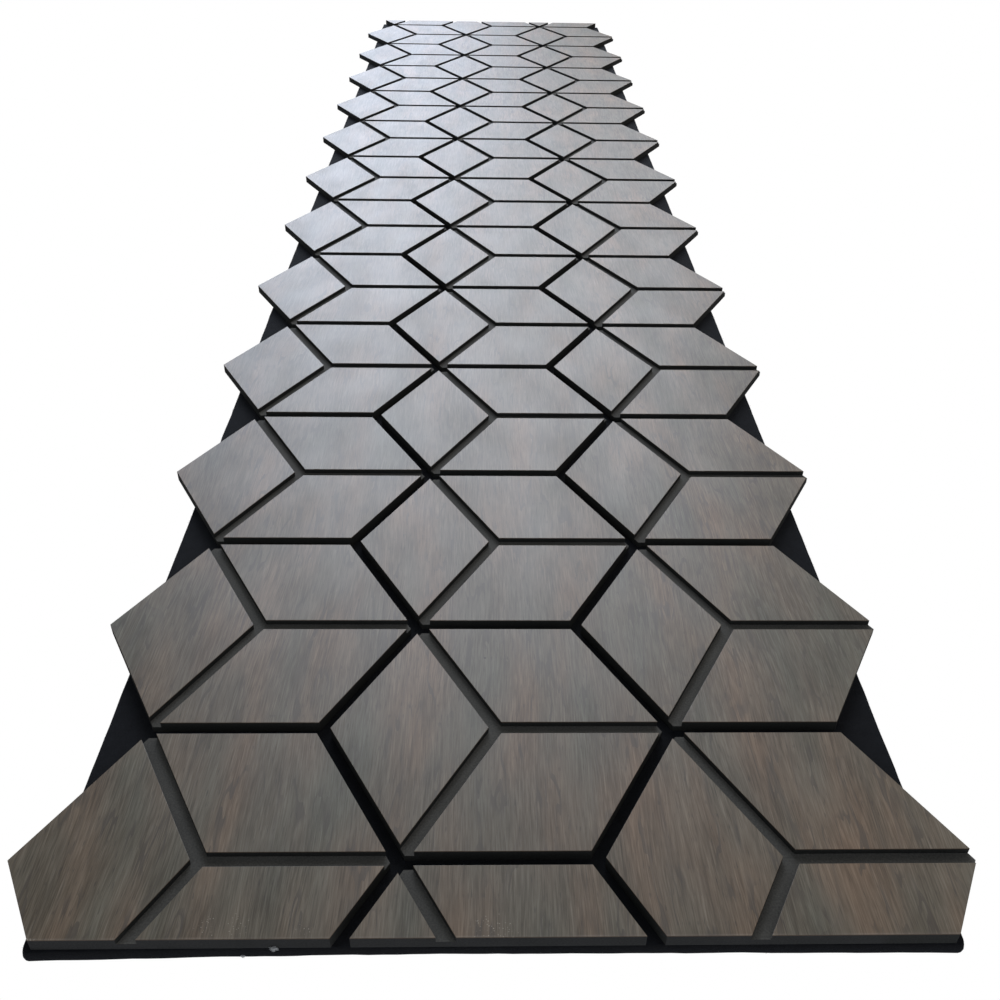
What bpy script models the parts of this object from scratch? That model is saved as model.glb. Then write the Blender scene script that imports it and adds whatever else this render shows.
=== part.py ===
"""Acoustic wall panel: hexagonal veneered boards glued on one sheet of black felt.

The panel stands upright as it hangs on a wall. X is its width, Z its length and -Y the way
its face looks. The origin is the middle of the felt's back, which lies against the wall.
Each board has a shallow Y-shaped groove that parts its face into three rhombic facets, and
the boards stand a gap apart, so that the felt shows between them. Both ends of the panel are
cut straight across boards and felt. All sizes are in metres.
"""
import math

import bmesh
import bpy
from mathutils import Vector

# Pattern of the boards
TILE_PITCH = 0.200          # from one board's middle to the next one's in a column
COLUMNS = ("left", "middle", "right")
PITCHES_LONG = 12           # whole pitches, so that the pattern runs on into the next panel
TILE_GAP = 0.0094           # open gap between two neighbouring boards
FIRST_TILE_HEIGHT = 0.050   # middle of the outer columns' lowest boards above the lower end
SHORTEST_OFFCUT = 0.010     # an end piece that would be lower than this is left off

# One board
BOARD_THICKNESS = 0.009
GROOVE_WIDTH = 0.0097
GROOVE_DEPTH = 0.0043

# Felt and glue
FELT_THICKNESS = 0.009
TIP_OVERHANG = 0.0235       # how far the boards' side tips stand past the felt's long edges
FELT_CORNER_RADIUS = 0.004
FELT_CORNER_STEPS = 6
GLUE_LINE = 0.0003          # gap between the felt's front and the boards' backs

# Worked out from the sizes above
TILE_RADIUS = (TILE_PITCH - TILE_GAP) / math.sqrt(3)
COLUMN_PITCH = TILE_PITCH * math.sqrt(3) / 2
PANEL_LENGTH = PITCHES_LONG * TILE_PITCH
LOWER_END = -PANEL_LENGTH / 2
UPPER_END = PANEL_LENGTH / 2
TILES_WIDTH = (len(COLUMNS) - 1) * COLUMN_PITCH + 2 * TILE_RADIUS
FELT_WIDTH = TILES_WIDTH - 2 * TIP_OVERHANG
TILE_BACK = -(FELT_THICKNESS + GLUE_LINE)


def clear_scene():
    """Remove what the file opens with."""
    for obj in list(bpy.data.objects):
        bpy.data.objects.remove(obj, do_unlink=True)


def principled(name, colour, roughness):
    """A plain Principled material in the photographed colour."""
    material = bpy.data.materials.new(name)
    material.use_nodes = True
    shader = material.node_tree.nodes["Principled BSDF"]
    shader.inputs["Base Color"].default_value = (*colour, 1.0)
    shader.inputs["Roughness"].default_value = roughness
    shader.inputs["Metallic"].default_value = 0.0
    material.diffuse_color = (*colour, 1.0)
    return material


def new_object(name, mesh, location, materials):
    """Put a mesh in the scene as a named object."""
    obj = bpy.data.objects.new(name, mesh)
    obj.location = location
    if not mesh.materials:
        for material in materials:
            mesh.materials.append(material)
    bpy.context.collection.objects.link(obj)
    return obj


def direction(degrees):
    """Unit vector in the plane of the face, turned from X towards Z."""
    angle = math.radians(degrees)
    return Vector((math.cos(angle), 0.0, math.sin(angle)))


def tile_bmesh():
    """One whole board: a hexagonal prism with a Y-shaped groove in its face.

    The groove's three arms run to the corners at 0, 120 and 240 degrees and open there.
    The board's back is at y = 0 and its face at y = -BOARD_THICKNESS.
    """
    bm = bmesh.new()
    face = Vector((0.0, -BOARD_THICKNESS, 0.0))
    floor = Vector((0.0, GROOVE_DEPTH - BOARD_THICKNESS, 0.0))
    # Where an arm's side meets the board's edge, and where two arms' sides meet
    mouth = TILE_RADIUS - GROOVE_WIDTH / (2 * math.sqrt(3))
    elbow = GROOVE_WIDTH / math.sqrt(3)

    back, tips, corners, sides, elbows = {}, {}, {}, {}, {}
    for arm in (0, 120, 240):
        back[arm] = bm.verts.new(TILE_RADIUS * direction(arm))
        back[arm + 60] = bm.verts.new(TILE_RADIUS * direction(arm + 60))
        tips[arm] = bm.verts.new(TILE_RADIUS * direction(arm) + floor)
        corners[arm] = bm.verts.new(TILE_RADIUS * direction(arm + 60) + face)
        elbows[arm] = [bm.verts.new(elbow * direction(arm + 60) + level) for level in (floor, face)]
        for side in (-1, 1):
            edge = mouth * direction(arm) + GROOVE_WIDTH / 2 * direction(arm + 90 * side)
            sides[arm, side] = [bm.verts.new(edge + level) for level in (floor, face)]

    outline, groove = [], []
    for arm in (0, 120, 240):
        following = (arm + 120) % 360
        low_out, high_out = sides[arm, 1]
        low_in, high_in = sides[following, -1]
        low_elbow, high_elbow = elbows[arm]
        # Facet between this arm and the next one
        bm.faces.new((high_elbow, high_out, corners[arm], high_in))
        # Groove walls on both sides of the facet
        bm.faces.new((low_elbow, low_out, high_out, high_elbow))
        bm.faces.new((low_in, low_elbow, high_elbow, high_in))
        # The board's two edges that meet at the facet's outer corner
        bm.faces.new((back[arm], back[arm + 60], corners[arm], high_out, low_out, tips[arm]))
        bm.faces.new((back[arm + 60], back[following], tips[following], low_in, high_in, corners[arm]))
        outline += [back[arm], back[arm + 60]]
        groove += [sides[arm, -1][0], tips[arm], low_out, low_elbow]
    bm.faces.new(outline)
    bm.faces.new(groove)
    bmesh.ops.recalc_face_normals(bm, faces=bm.faces)
    return bm


def cut_off(bm, height, side):
    """Cut the board straight across at a height and close the cut; side 1 keeps what is below."""
    everything = list(bm.verts) + list(bm.edges) + list(bm.faces)
    cut = bmesh.ops.bisect_plane(bm, geom=everything, dist=1e-6, plane_co=(0.0, 0.0, height),
                                 plane_no=(0.0, 0.0, side), clear_outer=True)
    rim = [item for item in cut["geom_cut"] if isinstance(item, bmesh.types.BMEdge)]
    bmesh.ops.holes_fill(bm, edges=rim, sides=0)
    bmesh.ops.recalc_face_normals(bm, faces=bm.faces)


def finish_tile_mesh(bm, name):
    """Write the board's mesh: its facets are veneer, all the rest is bare board."""
    for face in bm.faces:
        on_front = face.calc_center_median().y < -BOARD_THICKNESS + GROOVE_DEPTH / 2
        face.material_index = 0 if on_front and face.normal.y < -0.5 else 1
    mesh = bpy.data.meshes.new(name)
    bm.to_mesh(mesh)
    bm.free()
    return mesh


def tile_heights(column):
    """Heights of the boards' middles in a column; every second column is half a pitch lower."""
    middle = LOWER_END + FIRST_TILE_HEIGHT - (column % 2) * TILE_PITCH / 2
    half = (TILE_PITCH - TILE_GAP) / 2
    while middle + half < LOWER_END + SHORTEST_OFFCUT:
        middle += TILE_PITCH
    while middle - TILE_PITCH + half >= LOWER_END + SHORTEST_OFFCUT:
        middle -= TILE_PITCH
    while middle - half <= UPPER_END - SHORTEST_OFFCUT:
        yield middle
        middle += TILE_PITCH


def build_tiles(materials):
    """All the boards, column by column and from the lower end up."""
    whole = finish_tile_mesh(tile_bmesh(), "whole_tile")
    half = (TILE_PITCH - TILE_GAP) / 2
    for column, column_name in enumerate(COLUMNS):
        x = (column - (len(COLUMNS) - 1) / 2) * COLUMN_PITCH
        for number, middle in enumerate(tile_heights(column), start=1):
            name = f"tile_{column_name}_{number:02d}"
            low_cut = middle - half < LOWER_END
            high_cut = middle + half > UPPER_END
            mesh = whole
            if low_cut or high_cut:
                bm = tile_bmesh()
                if low_cut:
                    cut_off(bm, LOWER_END - middle, -1)
                if high_cut:
                    cut_off(bm, UPPER_END - middle, 1)
                mesh = finish_tile_mesh(bm, name)
            new_object(name, mesh, (x, TILE_BACK, middle), materials)


def build_felt(material):
    """The felt sheet: a rectangle with small round corners, as long as the panel."""
    bm = bmesh.new()
    across = FELT_WIDTH / 2 - FELT_CORNER_RADIUS
    along = PANEL_LENGTH / 2 - FELT_CORNER_RADIUS
    outline = []
    for start, x, z in ((0, 1, 1), (90, -1, 1), (180, -1, -1), (270, 1, -1)):
        for step in range(FELT_CORNER_STEPS + 1):
            turn = direction(start + 90 * step / FELT_CORNER_STEPS)
            outline.append(bm.verts.new(Vector((x * across, 0.0, z * along)) + FELT_CORNER_RADIUS * turn))
    extruded = bmesh.ops.extrude_face_region(bm, geom=[bm.faces.new(outline)])
    front = [item for item in extruded["geom"] if isinstance(item, bmesh.types.BMVert)]
    bmesh.ops.translate(bm, verts=front, vec=(0.0, -FELT_THICKNESS, 0.0))
    bmesh.ops.recalc_face_normals(bm, faces=bm.faces)
    mesh = bpy.data.meshes.new("felt_backing")
    bm.to_mesh(mesh)
    bm.free()
    new_object("felt_backing", mesh, (0.0, 0.0, 0.0), [material])


def main():
    clear_scene()
    veneer = principled("smoked_oak_veneer", (0.080, 0.066, 0.056), 0.45)
    board = principled("dyed_fibreboard", (0.030, 0.031, 0.033), 0.85)
    felt = principled("black_felt", (0.006, 0.007, 0.009), 0.95)
    build_felt(felt)
    build_tiles([veneer, board])


main()
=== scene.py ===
"""Looks of the acoustic wall panel: smoked oak veneer on dyed fibreboard, on black felt.

The panel hangs upright. X is its width, Z its length and -Y the way its face looks. All
sizes are in metres unless a name says otherwise.
"""
import math

import bmesh
import bpy
from mathutils import Matrix, Vector, noise


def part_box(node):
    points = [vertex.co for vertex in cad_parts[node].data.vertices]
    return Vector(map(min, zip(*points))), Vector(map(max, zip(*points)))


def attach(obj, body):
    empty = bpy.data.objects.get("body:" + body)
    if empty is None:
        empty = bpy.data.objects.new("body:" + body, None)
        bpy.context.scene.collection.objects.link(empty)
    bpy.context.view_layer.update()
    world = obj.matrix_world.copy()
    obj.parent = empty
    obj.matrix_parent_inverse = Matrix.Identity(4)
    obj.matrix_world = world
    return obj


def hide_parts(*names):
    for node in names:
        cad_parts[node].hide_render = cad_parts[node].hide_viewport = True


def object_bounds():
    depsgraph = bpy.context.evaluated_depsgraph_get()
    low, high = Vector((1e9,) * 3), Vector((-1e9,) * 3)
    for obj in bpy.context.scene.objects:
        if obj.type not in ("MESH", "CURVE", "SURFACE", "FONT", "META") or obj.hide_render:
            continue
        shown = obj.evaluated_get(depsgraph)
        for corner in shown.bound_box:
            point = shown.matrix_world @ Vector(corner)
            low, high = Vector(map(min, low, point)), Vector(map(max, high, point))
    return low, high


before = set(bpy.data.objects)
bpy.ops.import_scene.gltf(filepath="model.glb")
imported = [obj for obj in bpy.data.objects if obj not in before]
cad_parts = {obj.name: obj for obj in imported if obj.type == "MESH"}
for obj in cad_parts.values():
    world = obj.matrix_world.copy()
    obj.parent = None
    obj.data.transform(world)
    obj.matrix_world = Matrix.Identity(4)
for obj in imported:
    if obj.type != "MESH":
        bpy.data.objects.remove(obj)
cad_low, cad_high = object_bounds()

# Boards, as the solids have them
TILE_PITCH = 0.200
TILE_GAP = 0.0094
GROOVE_WIDTH = 0.0097
GROOVE_DEPTH = 0.0043
FIRST_TILE_HEIGHT = 0.050    # middle of the outer columns' lowest boards above the lower end
GROOVE_ARMS = 3
ARRIS = 0.00015              # width of the softened edges of a board
ARRIS_ANGLE = math.radians(35)   # only edges that bend more than this are softened
FACE_TOLERANCE = 0.0005      # what lies this close to the face's level is veneered
VENEER_THICKNESS = 0.0006
PALE_END_BAND = 0.0014         # width of the band along the panel's ends where the veneer gets a painted highlight and, at one corner, splinters
SAWN_SKIN = 0.0002           # depth of the saw's grey mark at the panel's ends
DARK_END_CORNER_X = 0.2110        # X from which the lower end's saw cut is darker
DARK_END_CORNER_FADE = 0.006
FIBRE_WANDER = 0.014         # how far the wood's fibres stray sideways at most
YEAR_RINGS = 30.0            # rings between the lowest and the highest level of the slow noise

# Places read from the solids
COLUMNS = ("left", "middle", "right")
LOWER_END, UPPER_END = cad_low.z, cad_high.z
FACE_Y = cad_low.y
FELT_LOW, FELT_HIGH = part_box("felt_backing")
BOARD_BACK_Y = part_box("tile_left_02")[1].y
BOARD_THICKNESS = BOARD_BACK_Y - FACE_Y
COLUMN_PITCH = TILE_PITCH * math.sqrt(3) / 2

# Felt
FELT_CORNER_RADIUS = 0.0030
FELT_CELL = 0.008            # size of the mesh's squares
CORNER_SHARES = (0.0, 0.08, 0.3, 0.6, 1.0)   # the mesh's lines across a corner
FELT_EDGE_WAVE = 0.0004      # how far the knife strayed from a straight cut
FELT_WAVES = ((35, 1.0, 1.7), (120, 0.5, 5.1))   # its long and short waves: per metre, strength, seed
FELT_HOLLOW = 0.0002         # how deep the pressed surface dips
HOLLOWS = 60                 # dips to a metre
HOLLOW_SEED = 9.0
# The rim's section: depth below the face, and how far in the long sides and the ends lie there,
# where less than nothing is outwards
FELT_RIM = ((0.0, 0.0006, 0.0006), (0.0005, 0.0001, 0.0001), (0.0035, -0.0009, -0.0001),
            (0.0062, -0.0015, -0.0002), (0.0080, -0.0012, 0.0001), (0.0090, 0.0002, 0.0012))
# How much lower the lower end's left and right corners hang than its middle, and the square of
# the share of the half width at which it is level with a straight cut
FELT_SAG = (0.0026, 0.0014)
SAG_LEVEL = 0.27

# Stray fibres and lint
FIBRE_DENSITY = 15000.0      # stray fibres for each square metre of cut edge
FIBRE_LENGTH = 0.0022
FIBRE_THICKNESS = 0.00005    # radius, twice a real fibre's, so that it shows
FIBRE_SEED = 7
WALL_CLEARANCE = FIBRE_LENGTH * 1.6   # no fibre grows closer to the wall, so that none enters it
HALF_TURN = 3.14             # radians
LINT = ((-0.1229, -0.0094, 0.0045), (-0.1406, -0.0020, 0.0025))   # X, Y and size of each fleck
LINT_FIBRES = 170
LINT_THICKNESS = 0.00008
LINT_CORE = 0.25             # radius of a fleck's core, and length of its fibres, as shares of its size
LINT_REACH = 0.45

# Marks on the veneer: X, Z and radius
DUST = ((-0.1590, -1.1930, 0.009), (-0.1430, -1.1915, 0.009), (-0.1060, -1.1950, 0.006),
        (-0.0100, -1.1935, 0.010), (0.0020, -1.1950, 0.012))
PIN_KNOT = (-0.0082, -0.9849, 0.0011)
CHIPPED_CORNER = (-0.2530, -1.1985, 0.0036)

# Camera, measured in the photograph by fitting the pattern of boards
CAMERA_PLACE = (-0.0079, -0.5404, -1.5191)
CAMERA_AIM = (0.0146, -0.0183, -0.7915)
CAMERA_ROLL = math.radians(-1.796)
CAMERA_SENSOR = 36.0         # width in millimetres
CAMERA_LENS = 37.26          # millimetres
CAMERA_SHIFT = -0.012

# Studio
FLOOR_Z = LOWER_END - 0.55
FLOOR_RADIUS = 4.5
ROOM_LIGHT = 0.15
LIGHT_TARGET = (0.0, 0.0, 0.3)
LIGHT_DISTANCE = 3.4         # from the target to each lamp
LIGHT_SIDE = 2.4             # each lamp is a square of this side
# Each lamp: degrees to the right of straight in front, degrees above level, watts, colour. The
# last one stands behind the panel and lights only what is seen from there.
LIGHTS = (("ceiling_softbox", -1, 48, 113.0, "#f0f5ff"),
          ("window_left_above", -60, 66, 68.0, "#dbe8ff"),
          ("fill_right", 50, 20, 24.0, "#fff4ea"),
          ("back_softbox", 165, 35, 60.0, "#f4f6ff"))


def rgb(code):
    """An sRGB hex colour as linear numbers, opaque."""
    channels = [int(code[i:i + 2], 16) / 255 for i in (1, 3, 5)]
    linear = [c / 12.92 if c <= 0.04045 else ((c + 0.055) / 1.055) ** 2.4 for c in channels]
    return (*linear, 1.0)


def add(tree, kind, inputs=None, stops=(), **settings):
    """Add a node with its settings and links.

    An input, by name or number, gets a value, or is linked from a socket or from another
    node's first output. Stops are a colour ramp's positions and hex colours. A Map Range
    node's inputs are 0 the value, 1 and 2 the range it is taken from, 3 and 4 the range it
    is brought to.
    """
    node = tree.nodes.new(kind)
    for key, value in settings.items():
        setattr(node, key, value)
    for key, value in (inputs or {}).items():
        if isinstance(value, bpy.types.Node):
            value = next(socket for socket in value.outputs if socket.enabled)
        if isinstance(value, bpy.types.NodeSocket):
            tree.links.new(value, node.inputs[key])
        else:
            node.inputs[key].default_value = value
    for index, (position, code) in enumerate(stops):
        elements = node.color_ramp.elements
        element = elements[index] if index < len(elements) else elements.new(position)
        element.position = position
        element.color = rgb(code)
    return node


def new_material(name, roughness, specular=0.5):
    """A new Principled material with its tree and its shader, ready for more nodes."""
    material = bpy.data.materials.new(name)
    material.use_nodes = True
    shader = material.node_tree.nodes["Principled BSDF"]
    shader.inputs["Roughness"].default_value = roughness
    shader.inputs["Specular IOR Level"].default_value = specular
    return material, material.node_tree, shader


def cells(tree, across, through, along):
    """Object coordinates counted in cells; their sizes along X, Y and Z in millimetres."""
    place = add(tree, "ShaderNodeTexCoord").outputs["Object"]
    scale = (1000 / across, 1000 / through, 1000 / along)
    return add(tree, "ShaderNodeMapping", {"Vector": place, "Scale": scale})


def smoked_oak_veneer():
    """Smoked oak veneer, knife-cut, with a satin lacquer.

    The eye sees olive and pinkish brown zones, soft broken streaks along the panel, short fine
    flecks, a few thin wavering dark lines, and a soft even shine at a low angle.
    """
    material, tree, shader = new_material("smoked_oak_veneer", 0.42)
    place = add(tree, "ShaderNodeTexCoord").outputs["Object"]

    # The fibres lean and wander sideways, about a centimetre over a few decimetres
    wander = add(tree, "ShaderNodeTexNoise",
                 {"Vector": cells(tree, 130, 1000, 380), "Scale": 1.0, "Detail": 2.0, "Roughness": 0.5})
    shift = add(tree, "ShaderNodeMapRange", {0: wander, 3: -FIBRE_WANDER, 4: FIBRE_WANDER})
    sideways = add(tree, "ShaderNodeCombineXYZ", {"X": shift})
    bent = add(tree, "ShaderNodeVectorMath", {0: place, 1: sideways}, operation="ADD")

    def grain(across, along, detail, roughness=0.5):
        """Noise drawn out along the fibres; cell sizes in millimetres."""
        scale = (1000 / across, 1.0, 1000 / along)
        drawn = add(tree, "ShaderNodeMapping", {"Vector": bent, "Scale": scale})
        return add(tree, "ShaderNodeTexNoise",
                   {"Vector": drawn, "Scale": 1.0, "Detail": detail, "Roughness": roughness})

    def near(mark):
        """1 close to a mark on the face, falling to 0 at its radius."""
        x, z, radius = mark
        away = add(tree, "ShaderNodeVectorMath", {0: place, 1: (x, FACE_Y, z)}, operation="DISTANCE")
        return add(tree, "ShaderNodeMapRange", {0: away, 1: radius, 2: radius * 0.4})

    # Broad zones of the log, then clouds, streaks, flecks and fine threads, clear in some patches
    # and faint in others. Flecks and threads are drawn wider than real fibres so that they show.
    zones = grain(38, 150, 2.0)
    flecks = grain(1.0, 25, 3.0, 0.65)
    clear = add(tree, "ShaderNodeMapRange", {0: grain(26, 60, 2.0), 1: 0.36, 2: 0.62, 3: 0.65})
    colour = add(tree, "ShaderNodeValToRGB", {"Fac": zones},
                 [(0.3, "#747366"), (0.5, "#807667"), (0.7, "#917b66")])
    for pattern, spread, dark in ((grain(22, 60, 2.0), 0.2, "#e4e5e4"),
                                  (grain(3.2, 60, 3.0, 0.6), 0.2, "#c3beb5"),
                                  (flecks, 0.1, "#d1ccc3"), (grain(0.7, 17, 1.0), 0.12, "#dad6cf")):
        tone = add(tree, "ShaderNodeValToRGB", {"Fac": pattern},
                   [(0.5 - spread, dark), (0.5 + spread, "#ffffff")])
        colour = add(tree, "ShaderNodeMix", {0: clear, 6: colour, 7: tone},
                     data_type="RGBA", blend_type="MULTIPLY")

    # Year rings: level lines of a slow noise, broken where the knife left them
    hill = add(tree, "ShaderNodeMath", {0: grain(110, 620, 1.0), 1: YEAR_RINGS}, operation="MULTIPLY")
    between_rings = add(tree, "ShaderNodeMath", {0: hill}, operation="FRACT")
    ring = add(tree, "ShaderNodeMapRange", {0: between_rings, 1: 0.78, 2: 1.0})
    ring_shown = add(tree, "ShaderNodeMapRange", {0: grain(20, 90, 2.0), 1: 0.45, 2: 0.62, 4: 0.4})
    # Thin dark wavering lines, and pores, drawn twice as wide as real ones so that they show
    line = add(tree, "ShaderNodeMath", {0: grain(11, 80, 2.0), 1: 0.5, 2: 0.025}, operation="COMPARE")
    line_shown = add(tree, "ShaderNodeMapRange", {0: grain(14, 40, 1.0), 1: 0.48, 2: 0.6, 4: 0.65})
    pores = add(tree, "ShaderNodeMapRange", {0: grain(0.9, 9, 0.0), 1: 0.70, 2: 0.79, 4: 0.5})

    # The veneer gets a painted highlight along the panel's ends, and is splintered at one corner
    axes = add(tree, "ShaderNodeSeparateXYZ", {"Vector": place})
    from_middle = add(tree, "ShaderNodeMath", {0: axes.outputs["Z"]}, operation="ABSOLUTE")
    at_end = add(tree, "ShaderNodeMapRange",
                 {0: from_middle, 1: UPPER_END - PALE_END_BAND, 2: UPPER_END - PALE_END_BAND * 0.4})
    painted_end_highlight = add(tree, "ShaderNodeMapRange", {0: zones, 1: 0.4, 2: 0.6, 3: 0.03, 4: 0.17})
    rough_spots = add(tree, "ShaderNodeTexNoise",
                      {"Vector": cells(tree, 0.9, 0.9, 0.9), "Scale": 1.0, "Detail": 1.0})
    splinters = add(tree, "ShaderNodeMapRange", {0: rough_spots, 1: 0.45, 2: 0.6, 4: 0.7})
    splintered = add(tree, "ShaderNodeMath", {0: splinters, 1: near(CHIPPED_CORNER)},
                     operation="MULTIPLY")

    # What is painted over the wood's colour, in this order: where, how strongly and in what colour
    # Among them, the pale band along the panel's ends is a painted highlight on the sawn edge.
    layers = [(ring, ring_shown, "#453e38"), (line, line_shown, "#453e36"), (pores, 1.0, "#332e2a"),
              (at_end, painted_end_highlight, "#a39a8d"), (at_end, splintered, "#a8a297"),
              (near(PIN_KNOT), 1.0, "#241f1b")]
    # Sanding dust in a few places: specks that grow fewer away from each place's middle, drawn
    # coarser than real dust so that they show
    specks = add(tree, "ShaderNodeTexVoronoi", {"Vector": cells(tree, 1.5, 1.5, 1.4), "Scale": 1.0})
    speck = add(tree, "ShaderNodeMapRange", {0: specks, 1: 0.24, 2: 0.12})
    chance = add(tree, "ShaderNodeSeparateXYZ", {"Vector": specks.outputs["Color"]})
    for mark in DUST:
        over = add(tree, "ShaderNodeMath", {0: near(mark), 1: chance}, operation="SUBTRACT")
        layers.append((speck, add(tree, "ShaderNodeMapRange", {0: over, 2: 0.3, 4: 0.5}), "#c0b9a8"))
    for pattern, amount, paint in layers:
        cover = add(tree, "ShaderNodeMath", {0: pattern, 1: amount}, operation="MULTIPLY")
        colour = add(tree, "ShaderNodeMix", {0: cover, 6: colour, 7: rgb(paint)}, data_type="RGBA")
    tree.links.new(colour.outputs[2], shader.inputs["Base Color"])

    # The lacquer's shine is a little uneven from place to place, and the arris is dull
    shine = add(tree, "ShaderNodeMapRange", {0: grain(50, 80, 2.0), 1: 0.3, 2: 0.7, 3: 0.385, 4: 0.455})
    arris = add(tree, "ShaderNodeMapRange",
                {0: axes.outputs["Y"], 1: FACE_Y + ARRIS * 0.1, 2: FACE_Y + ARRIS * 0.4, 4: 0.9})
    dulled = add(tree, "ShaderNodeMath", {0: shine, 1: arris}, operation="MAXIMUM")
    tree.links.new(dulled.outputs[0], shader.inputs["Roughness"])
    relief = add(tree, "ShaderNodeMath", {0: flecks, 1: pores}, operation="SUBTRACT")
    bump = add(tree, "ShaderNodeBump", {"Height": relief, "Strength": 0.05, "Distance": 0.0002})
    tree.links.new(bump.outputs[0], shader.inputs["Normal"])
    return material


def dyed_fibreboard():
    """Medium-density fibreboard dyed black in the mass, sawn and routed.

    The eye sees near-black routed walls (dye and painted shade), a greyer sawn end, paler felted fibres
    where routing dust stays on the groove's floor, and the veneer's thin brown edge along the top.
    """
    material, tree, shader = new_material("dyed_fibreboard", 0.85, 0.25)
    # Felted fibres, drawn about ten times as thick as real ones so that they show
    felted = add(tree, "ShaderNodeTexNoise",
                 {"Vector": cells(tree, 1.2, 0.7, 1.2), "Scale": 1.0, "Detail": 3.0})
    patches = add(tree, "ShaderNodeTexNoise",
                  {"Vector": cells(tree, 30, 16, 30), "Scale": 1.0, "Detail": 3.0})
    place = add(tree, "ShaderNodeTexCoord").outputs["Object"]
    axes = add(tree, "ShaderNodeSeparateXYZ", {"Vector": place})
    normal = add(tree, "ShaderNodeNewGeometry").outputs["Normal"]
    facing = add(tree, "ShaderNodeSeparateXYZ", {"Vector": normal}).outputs["Y"]

    # Dust stays on the groove's floor, here more and there less
    on_floor = add(tree, "ShaderNodeMapRange", {0: facing, 1: -0.5, 2: -0.9})
    dusty = add(tree, "ShaderNodeMapRange", {0: patches, 1: 0.3, 2: 0.7, 3: 0.7})
    # The saw left the two ends greyer, but not towards the lower end's right corner, which stays darker
    from_middle = add(tree, "ShaderNodeMath", {0: axes.outputs["Z"]}, operation="ABSOLUTE")
    at_end = add(tree, "ShaderNodeMapRange",
                 {0: from_middle, 1: UPPER_END - SAWN_SKIN, 2: UPPER_END - SAWN_SKIN / 2})
    uneven = add(tree, "ShaderNodeMapRange", {0: patches, 1: 0.35, 2: 0.65, 3: 0.5})
    clear_of_dark_corner = add(tree, "ShaderNodeMapRange",
                     {0: axes.outputs["X"], 1: DARK_END_CORNER_X, 2: DARK_END_CORNER_X + DARK_END_CORNER_FADE,
                      3: 1.0, 4: 0.0})
    sawn = add(tree, "ShaderNodeMath", {0: uneven, 1: clear_of_dark_corner}, operation="MULTIPLY")
    in_veneer = add(tree, "ShaderNodeMapRange",
                    {0: axes.outputs["Y"], 1: FACE_Y + VENEER_THICKNESS,
                     2: FACE_Y + VENEER_THICKNESS * 0.8})

    # Routed walls, near black from the dye and from painted shade, and over them the floor, the sawn ends
    # and the veneer's edge
    colour = add(tree, "ShaderNodeValToRGB", {"Fac": felted}, [(0.25, "#191a18"), (0.75, "#2b2c2a")])
    for where, amount, dark, light in ((on_floor, dusty, "#434340", "#5a5955"),
                                       (at_end, sawn, "#222223", "#343433"),
                                       (in_veneer, 1.0, "#574a40", "#615246")):
        cover = add(tree, "ShaderNodeMath", {0: where, 1: amount}, operation="MULTIPLY")
        paint = add(tree, "ShaderNodeValToRGB", {"Fac": felted}, [(0.25, dark), (0.75, light)])
        colour = add(tree, "ShaderNodeMix", {0: cover, 6: colour, 7: paint}, data_type="RGBA")
    tree.links.new(colour.outputs[2], shader.inputs["Base Color"])
    bump = add(tree, "ShaderNodeBump", {"Height": felted, "Strength": 0.4, "Distance": 0.0002})
    tree.links.new(bump.outputs[0], shader.inputs["Normal"])
    return material


def black_polyester_felt():
    """Needle-punched polyester felt, black with a cold cast, dull and finely hairy.

    The eye sees a soft dark grey sheen on its face and almost nothing on its knife-cut edges,
    which are painted near black as painted shade.
    """
    material, tree, shader = new_material("black_polyester_felt", 1.0, 0.2)
    # The hairs are drawn much thicker than real ones so that they show
    hairs = add(tree, "ShaderNodeTexNoise", {"Vector": cells(tree, 0.9, 0.9, 0.9), "Scale": 1.0,
                                             "Detail": 4.0, "Roughness": 0.7, "Distortion": 1.5})
    clouds = add(tree, "ShaderNodeTexNoise",
                 {"Vector": cells(tree, 9, 9, 9), "Scale": 1.0, "Detail": 2.0})
    hair_colour = add(tree, "ShaderNodeValToRGB", {"Fac": hairs}, [(0.3, "#0b0c0e"), (0.7, "#181a1e")])
    cloud_tone = add(tree, "ShaderNodeValToRGB", {"Fac": clouds}, [(0.3, "#c8c8c8"), (0.7, "#ffffff")])
    face = add(tree, "ShaderNodeMix", {0: 1.0, 6: hair_colour, 7: cloud_tone},
               data_type="RGBA", blend_type="MULTIPLY")
    normal = add(tree, "ShaderNodeNewGeometry").outputs["Normal"]
    facing = add(tree, "ShaderNodeSeparateXYZ", {"Vector": normal}).outputs["Y"]
    steep = add(tree, "ShaderNodeMath", {0: facing}, operation="ABSOLUTE")
    # Painted shade: the knife-cut edges, whose normals lie across Y, are painted near black
    painted_edge_shade = add(tree, "ShaderNodeMapRange", {0: steep, 1: 0.8, 2: 0.3, 4: 0.95})
    colour = add(tree, "ShaderNodeMix", {0: painted_edge_shade, 6: face, 7: rgb("#020202")}, data_type="RGBA")
    tree.links.new(colour.outputs[2], shader.inputs["Base Color"])
    shader.inputs["Sheen Weight"].default_value = 0.06
    shader.inputs["Sheen Roughness"].default_value = 0.6
    shader.inputs["Sheen Tint"].default_value = rgb("#9aa4b8")
    bump = add(tree, "ShaderNodeBump", {"Height": hairs, "Strength": 0.8, "Distance": 0.0008})
    tree.links.new(bump.outputs[0], shader.inputs["Normal"])
    return material


def loose_fibre(name, dark, light):
    """Loose textile fibres: dull threads that differ a little from one to the next."""
    material, tree, shader = new_material(name, 0.9, 0.2)
    mottle = add(tree, "ShaderNodeTexNoise", {"Vector": cells(tree, 0.6, 0.6, 0.6), "Scale": 1.0})
    colour = add(tree, "ShaderNodeValToRGB", {"Fac": mottle}, [(0.35, dark), (0.65, light)])
    tree.links.new(colour.outputs[0], shader.inputs["Base Color"])
    return material


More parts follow.
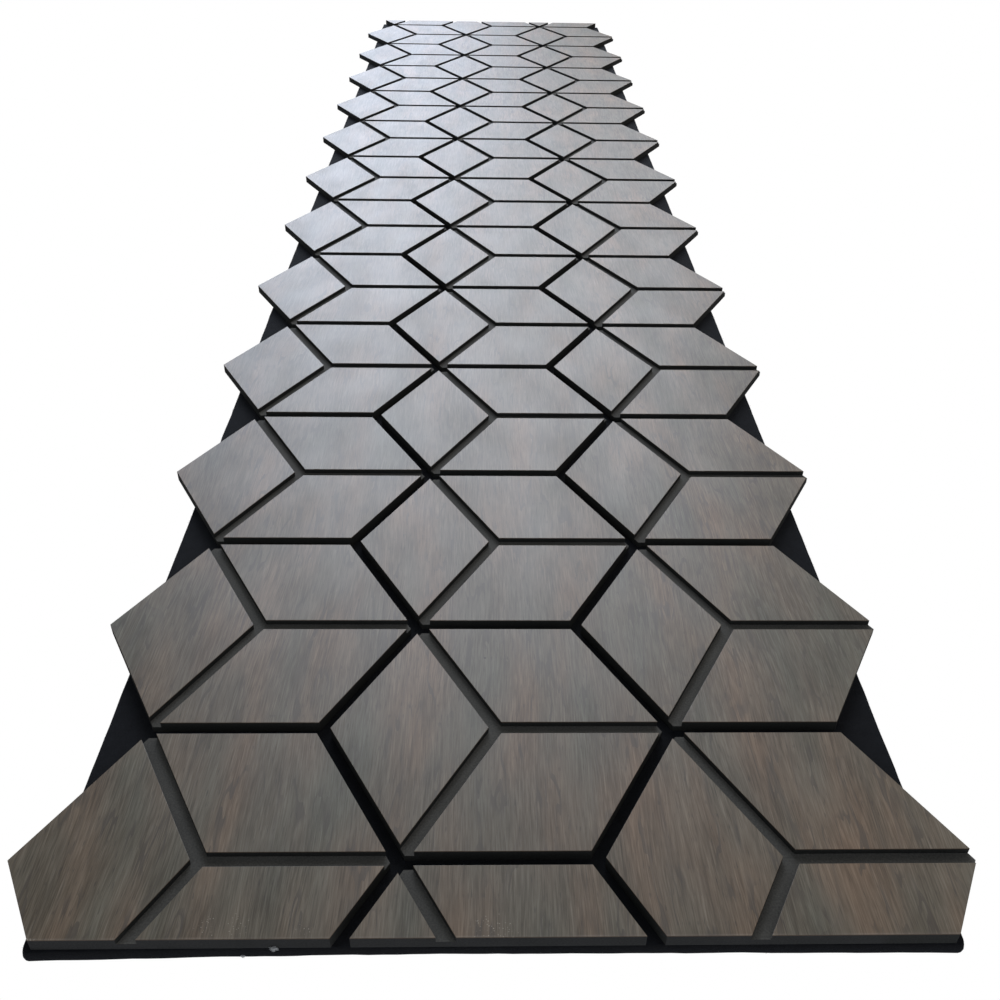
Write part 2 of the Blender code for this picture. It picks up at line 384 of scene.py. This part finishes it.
def new_tree(name, sizes):
    """A Geometry Nodes tree whose inputs are the named sizes, with its input and output nodes."""
    tree = bpy.data.node_groups.new(name, "GeometryNodeTree")
    tree.interface.new_socket("Geometry", in_out="INPUT", socket_type="NodeSocketGeometry")
    tree.interface.new_socket("Geometry", in_out="OUTPUT", socket_type="NodeSocketGeometry")
    kinds = {int: "NodeSocketInt", float: "NodeSocketFloat"}
    for label, value in sizes.items():
        socket = tree.interface.new_socket(label, in_out="INPUT", socket_type=kinds[type(value)])
        socket.default_value = value
    given = add(tree, "NodeGroupInput").outputs
    result = add(tree, "NodeGroupOutput").inputs
    return tree, given, result


def grown(obj, tree, sizes, finish=()):
    """Run a tree on an object and return its result as a plain mesh object."""
    modifier = obj.modifiers.new(tree.name, "NODES")
    modifier.node_group = tree
    for socket in tree.interface.items_tree:
        if socket.in_out == "INPUT" and socket.name in sizes:
            modifier[socket.identifier] = sizes[socket.name]
    for kind, settings in finish:
        extra = obj.modifiers.new(kind.title(), kind)
        for key, value in settings.items():
            setattr(extra, key, value)
    bpy.context.view_layer.update()
    evaluated = obj.evaluated_get(bpy.context.evaluated_depsgraph_get())
    mesh = bpy.data.meshes.new_from_object(evaluated)
    obj.modifiers.clear()
    mesh.name = obj.name
    obj.data = mesh
    return obj


def new_object(name, data=None):
    """An object in the scene with the given data, or else with an empty mesh."""
    obj = bpy.data.objects.new(name, data or bpy.data.meshes.new(name))
    bpy.context.scene.collection.objects.link(obj)
    return obj


def board_tree(veneer, board):
    """One board: a hexagonal prism with a groove of three arms, cut off at the panel's ends."""
    tree, given, result = new_tree("routed hexagonal board", {
        "Pitch": TILE_PITCH, "Gap": TILE_GAP, "Thickness": BOARD_THICKNESS, "Groove width": GROOVE_WIDTH,
        "Groove depth": GROOVE_DEPTH, "Middle X": 0.0, "Middle Z": 0.0, "Back Y": BOARD_BACK_Y,
        "Panel length": UPPER_END - LOWER_END})
    thickness = given["Thickness"]

    # Lying flat, its back on the ground
    flats = add(tree, "ShaderNodeMath", {0: given["Pitch"], 1: given["Gap"]}, operation="SUBTRACT")
    radius = add(tree, "ShaderNodeMath", {0: flats, 1: math.sqrt(3)}, operation="DIVIDE")
    prism = add(tree, "GeometryNodeMeshCylinder", {"Vertices": 6, "Radius": radius, "Depth": thickness})
    half = add(tree, "ShaderNodeMath", {0: thickness, 1: 0.5}, operation="MULTIPLY")
    lift = add(tree, "ShaderNodeCombineXYZ", {"Z": half})
    body = add(tree, "GeometryNodeTransform", {"Geometry": prism, "Translation": lift})

    # The cutter's arms reach past the corners, and as far above the face as below it
    tall = add(tree, "ShaderNodeMath", {0: given["Groove depth"], 1: 2.0}, operation="MULTIPLY")
    size = add(tree, "ShaderNodeCombineXYZ", {"X": given["Pitch"], "Y": given["Groove width"], "Z": tall})
    bar = add(tree, "GeometryNodeMeshCube", {"Size": size})
    outward = add(tree, "ShaderNodeMath", {0: given["Pitch"], 1: 0.5}, operation="MULTIPLY")
    outward = add(tree, "ShaderNodeCombineXYZ", {"X": outward, "Z": thickness})
    arm = add(tree, "GeometryNodeTransform", {"Geometry": bar, "Translation": outward})
    number = add(tree, "GeometryNodeInputIndex")
    turn = add(tree, "ShaderNodeMath", {0: number, 1: math.radians(360 / GROOVE_ARMS)},
               operation="MULTIPLY")
    turn = add(tree, "ShaderNodeCombineXYZ", {"Z": turn})
    points = add(tree, "GeometryNodePoints", {"Count": GROOVE_ARMS})
    arms = add(tree, "GeometryNodeInstanceOnPoints",
               {"Points": points, "Instance": arm, "Rotation": turn})
    cutter = add(tree, "GeometryNodeRealizeInstances", {"Geometry": arms})
    routed = add(tree, "GeometryNodeMeshBoolean",
                 {"Mesh 1": body, "Mesh 2": cutter, "Self Intersection": True},
                 operation="DIFFERENCE", solver="EXACT")

    # Stand it up: the prism's top becomes the face, which looks along -Y
    spot = add(tree, "ShaderNodeCombineXYZ",
               {"X": given["Middle X"], "Y": given["Back Y"], "Z": given["Middle Z"]})
    upright = add(tree, "GeometryNodeTransform",
                  {"Geometry": routed, "Rotation": (math.radians(90), 0.0, 0.0), "Translation": spot})

    # Keep what lies between the panel's two ends, in a block wider and deeper than the panel; an
    # intersection takes both its solids by its second input
    size = add(tree, "ShaderNodeCombineXYZ", {"X": 1.0, "Y": 0.2, "Z": given["Panel length"]})
    block = add(tree, "GeometryNodeMeshCube", {"Size": size})
    cut = add(tree, "GeometryNodeMeshBoolean", {"Mesh 2": block}, operation="INTERSECT", solver="EXACT")
    tree.links.new(upright.outputs[0], cut.inputs["Mesh 2"])
    clean = add(tree, "GeometryNodeMergeByDistance", {"Geometry": cut, "Distance": 1e-6})

    # Bare board all over, and veneer on what lies at the level of the face
    real = add(tree, "GeometryNodeRealizeInstances", {"Geometry": clean})
    bare = add(tree, "GeometryNodeSetMaterial", {"Geometry": real, "Material": board})
    level = add(tree, "ShaderNodeMath", {0: given["Back Y"], 1: thickness}, operation="SUBTRACT")
    axes = add(tree, "ShaderNodeSeparateXYZ", {"Vector": add(tree, "GeometryNodeInputPosition")})
    on_face = add(tree, "ShaderNodeMath", {0: axes.outputs["Y"], 1: level, 2: FACE_TOLERANCE},
                  operation="COMPARE")
    dressed = add(tree, "GeometryNodeSetMaterial",
                  {"Geometry": bare, "Selection": on_face, "Material": veneer})
    tree.links.new(dressed.outputs[0], result["Geometry"])
    return tree


def make_boards(veneer, board):
    """Every board, in the place of its solid."""
    tree = board_tree(veneer, board)
    arris = {"width": ARRIS, "segments": 2, "limit_method": "ANGLE", "angle_limit": ARRIS_ANGLE}
    for column, column_name in enumerate(COLUMNS):
        x = (column - (len(COLUMNS) - 1) / 2) * COLUMN_PITCH
        first = LOWER_END + FIRST_TILE_HEIGHT - (column % 2) * TILE_PITCH / 2
        numbers = [int(name[-2:]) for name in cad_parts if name.startswith(f"tile_{column_name}_")]
        for number in sorted(numbers):
            node = f"tile_{column_name}_{number:02d}"
            place = {"Middle X": x, "Middle Z": first + (number - 1) * TILE_PITCH}
            piece = grown(new_object(f"veneered_{node}"), tree, place, [("BEVEL", arris)])
            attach(piece, "root")
            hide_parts(node)


def stations(half):
    """Places of the mesh's lines from -half to half, closer together in the round corners."""
    ends = [half - FELT_CORNER_RADIUS * share for share in CORNER_SHARES]
    inner = ends[-1]
    count = round(2 * inner / FELT_CELL)
    middle = [-inner + 2 * inner * step / count for step in range(1, count)]
    return [-value for value in ends] + middle + ends[::-1]


def felt_backing(felt):
    """The felt sheet: cut by knife, so its rim wavers and leans and its corners are round."""
    obj = new_object("felt_sheet")
    bm = bmesh.new()
    half_x, half_z = FELT_HIGH.x, (FELT_HIGH.z - FELT_LOW.z) / 2
    xs, zs = stations(half_x), stations(half_z)

    def point(x, z, level, hollow=0.0):
        """A point of the plan, with round corners, a wavering rim and the rim level's insets."""
        depth, side_inset, end_inset = level
        dx = max(0.0, abs(x) - (half_x - FELT_CORNER_RADIUS)) / FELT_CORNER_RADIUS
        dz = max(0.0, abs(z) - (half_z - FELT_CORNER_RADIUS)) / FELT_CORNER_RADIUS
        if dx > 0 and dz > 0:
            pull = max(dx, dz) / math.hypot(dx, dz)
            dx, dz = dx * pull, dz * pull
        px = min(abs(x), half_x - FELT_CORNER_RADIUS) + dx * FELT_CORNER_RADIUS
        pz = min(abs(z), half_z - FELT_CORNER_RADIUS) + dz * FELT_CORNER_RADIUS
        waver = sum(strength * noise.noise((x * waves, z * waves, seed))
                    for waves, strength, seed in FELT_WAVES)
        px = math.copysign(px + (waver * FELT_EDGE_WAVE - side_inset) * dx, x)
        pz = math.copysign(pz + (waver * FELT_EDGE_WAVE - end_inset) * dz, z)
        if z < 0:
            pz -= FELT_SAG[x > 0] * ((x / half_x) ** 2 - SAG_LEVEL) * dz
        dip = hollow * (0.5 + 0.5 * noise.noise((px * HOLLOWS, pz * HOLLOWS, HOLLOW_SEED)))
        return bm.verts.new((px, FELT_LOW.y + depth + dip, pz))

    front = [[point(x, z, FELT_RIM[0], FELT_HOLLOW) for x in xs] for z in zs]
    back = [[point(x, z, FELT_RIM[-1]) for x in xs] for z in zs]
    for rows in (front, back):
        for j in range(len(zs) - 1):
            for i in range(len(xs) - 1):
                bm.faces.new((rows[j][i], rows[j][i + 1], rows[j + 1][i + 1], rows[j + 1][i]))

    def rim_of(rows):
        """A grid's rim in order round the sheet."""
        walk = rows[0][:-1] + [row[-1] for row in rows[:-1]]
        return walk + rows[-1][:0:-1] + [row[0] for row in rows[:0:-1]]

    plan = rim_of([[(x, z) for x in xs] for z in zs])
    between = [[point(x, z, level) for x, z in plan] for level in FELT_RIM[1:-1]]
    rings = [rim_of(front)] + between + [rim_of(back)]
    for upper, lower in zip(rings, rings[1:]):
        for i in range(len(upper)):
            bm.faces.new((upper[i - 1], lower[i - 1], lower[i], upper[i]))
    bmesh.ops.recalc_face_normals(bm, faces=bm.faces)
    for face in bm.faces:
        face.smooth = True
    bm.to_mesh(obj.data)
    bm.free()
    obj.data.materials.append(felt)
    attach(obj, "root")
    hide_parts("felt_backing")
    return obj


def fibre_tree(name, material, steepest=2.0, furthest_back=1.0):
    """Fibres that grow from a surface: each one a thin bowed tube, spun and sized at random.

    Only those faces bear any that lie in front of the Y furthest_back, and whose normal's Y is
    smaller than steepest, its sign left out.
    """
    tree, given, result = new_tree(
        name, {"Density": 1000.0, "Length": 0.002, "Thickness": 0.00006, "Seed": 1})
    normal = add(tree, "ShaderNodeSeparateXYZ", {"Vector": add(tree, "GeometryNodeInputNormal")})
    steep = add(tree, "ShaderNodeMath", {0: normal.outputs["Y"]}, operation="ABSOLUTE")
    axes = add(tree, "ShaderNodeSeparateXYZ", {"Vector": add(tree, "GeometryNodeInputPosition")})
    sideways = add(tree, "FunctionNodeCompare", {0: steep, 1: steepest}, operation="LESS_THAN")
    in_front = add(tree, "FunctionNodeCompare", {0: axes.outputs["Y"], 1: furthest_back},
                   operation="LESS_THAN")
    bearing = add(tree, "FunctionNodeBooleanMath", {0: sideways, 1: in_front}, operation="AND")
    strewn = add(tree, "GeometryNodeDistributePointsOnFaces",
                 {"Mesh": given["Geometry"], "Selection": bearing, "Density": given["Density"],
                  "Seed": given["Seed"]}, distribute_method="RANDOM")

    # A bow of unit length, brought to size and spun with each fibre
    bow = add(tree, "GeometryNodeCurveQuadraticBezier",
              {"Resolution": 5, "Start": (0.0, 0.0, -0.1), "Middle": (0.15, 0.0, 0.5),
               "End": (0.85, 0.0, 0.35)})
    bow = add(tree, "GeometryNodeTransform", {"Geometry": bow, "Scale": given["Length"]})
    spin = add(tree, "FunctionNodeRandomValue",
               {"Min": (0.0, 0.0, -HALF_TURN), "Max": (0.0, 0.0, HALF_TURN), "Seed": given["Seed"]},
               data_type="FLOAT_VECTOR")
    spun = add(tree, "FunctionNodeRotateRotation",
               {"Rotation": strewn.outputs["Rotation"], "Rotate By": spin}, rotation_space="LOCAL")
    size = add(tree, "FunctionNodeRandomValue",
               {"Min": (0.4, 0.4, 0.4), "Max": (1.3, 1.3, 1.3), "Seed": given["Seed"]},
               data_type="FLOAT_VECTOR")
    placed = add(tree, "GeometryNodeInstanceOnPoints",
                 {"Points": strewn, "Instance": bow, "Rotation": spun, "Scale": size})
    curves = add(tree, "GeometryNodeRealizeInstances", {"Geometry": placed})
    section = add(tree, "GeometryNodeCurvePrimitiveCircle",
                  {"Resolution": 3, "Radius": given["Thickness"]})
    tubes = add(tree, "GeometryNodeCurveToMesh",
                {"Curve": curves, "Profile Curve": section, "Fill Caps": True})
    real = add(tree, "GeometryNodeRealizeInstances", {"Geometry": tubes})
    dressed = add(tree, "GeometryNodeSetMaterial", {"Geometry": real, "Material": material})
    tree.links.new(dressed.outputs[0], result["Geometry"])
    return tree


def loose_fibres(sheet):
    """Stray fibres along the felt's cut edges, and flecks of lint on its lower end."""
    black = fibre_tree("felt edge fibres", loose_fibre("black_polyester_fibre", "#0c0d10", "#24262b"),
                       steepest=0.7, furthest_back=-WALL_CLEARANCE)
    sizes = {"Density": FIBRE_DENSITY, "Length": FIBRE_LENGTH, "Thickness": FIBRE_THICKNESS,
             "Seed": FIBRE_SEED}
    pieces = [grown(new_object("felt_edge_fibres", sheet.data), black, sizes)]
    pale = fibre_tree("lint", loose_fibre("pale_cotton_lint", "#a8aaab", "#dcdedd"))
    for number, (x, y, size) in enumerate(LINT, start=1):
        fleck = new_object(f"lint_{number}")
        bm = bmesh.new()
        flat = Matrix.Diagonal((1.0, 0.7, 0.3, 1.0))
        bmesh.ops.create_icosphere(bm, subdivisions=2, radius=size * LINT_CORE,
                                   matrix=Matrix.Translation((x, y, LOWER_END)) @ flat)
        bm.to_mesh(fleck.data)
        bm.free()
        surface = sum(polygon.area for polygon in fleck.data.polygons)
        pieces.append(grown(fleck, pale, {"Density": LINT_FIBRES / surface, "Length": size * LINT_REACH,
                                          "Thickness": LINT_THICKNESS, "Seed": number}))
    for piece in pieces:
        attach(piece, "root")


def make_stage():
    """A pale floor below the hanging panel."""
    bpy.ops.mesh.primitive_circle_add(vertices=96, radius=FLOOR_RADIUS, fill_type="NGON",
                                      location=(0.0, 0.0, FLOOR_Z))
    floor = bpy.context.object
    floor.name = "studio_floor"
    material, _, shader = new_material("matt_studio_floor", 0.7)
    shader.inputs["Base Color"].default_value = rgb("#dcdcda")
    floor.data.materials.append(material)


def make_light():
    """A white backdrop for the camera, a dim room all round, and soft square lamps."""
    world = bpy.data.worlds.new("white_studio")
    bpy.context.scene.world = world
    world.use_nodes = True
    tree = world.node_tree
    tree.nodes.clear()
    backdrop = add(tree, "ShaderNodeBackground", {"Color": rgb("#ffffff"), "Strength": 1.0})
    room = add(tree, "ShaderNodeBackground", {"Color": rgb("#ffffff"), "Strength": ROOM_LIGHT})
    seen = add(tree, "ShaderNodeLightPath").outputs["Is Camera Ray"]
    mixed = add(tree, "ShaderNodeMixShader", {0: seen, 1: room, 2: backdrop})
    add(tree, "ShaderNodeOutputWorld", {"Surface": mixed})
    for name, turn, height, power, colour in LIGHTS:
        across, up = math.radians(turn), math.radians(height)
        way = Vector((math.sin(across) * math.cos(up), -math.cos(across) * math.cos(up), math.sin(up)))
        data = bpy.data.lights.new(name, "AREA")
        data.size = LIGHT_SIDE
        data.energy = power
        data.color = rgb(colour)[:3]
        light = new_object(name, data)
        light.location = Vector(LIGHT_TARGET) + LIGHT_DISTANCE * way
        light.rotation_euler = way.to_track_quat("Z", "Y").to_euler()
        light.visible_camera = False


def make_camera():
    """The photograph's camera."""
    data = bpy.data.cameras.new("camera")
    camera = new_object("camera", data)
    bpy.context.scene.camera = camera
    data.sensor_width = CAMERA_SENSOR
    data.lens = CAMERA_LENS
    data.shift_x = CAMERA_SHIFT
    data.clip_start = 0.02
    data.dof.use_dof = False
    aim = (Vector(CAMERA_AIM) - Vector(CAMERA_PLACE)).to_track_quat("-Z", "Y").to_matrix().to_4x4()
    camera.matrix_world = Matrix.Translation(CAMERA_PLACE) @ aim @ Matrix.Rotation(CAMERA_ROLL, 4, "Z")


def main():
    bpy.context.scene.view_settings.view_transform = "Standard"
    make_boards(smoked_oak_veneer(), dyed_fibreboard())
    loose_fibres(felt_backing(black_polyester_felt()))
    make_stage()
    make_light()
    make_camera()


main()
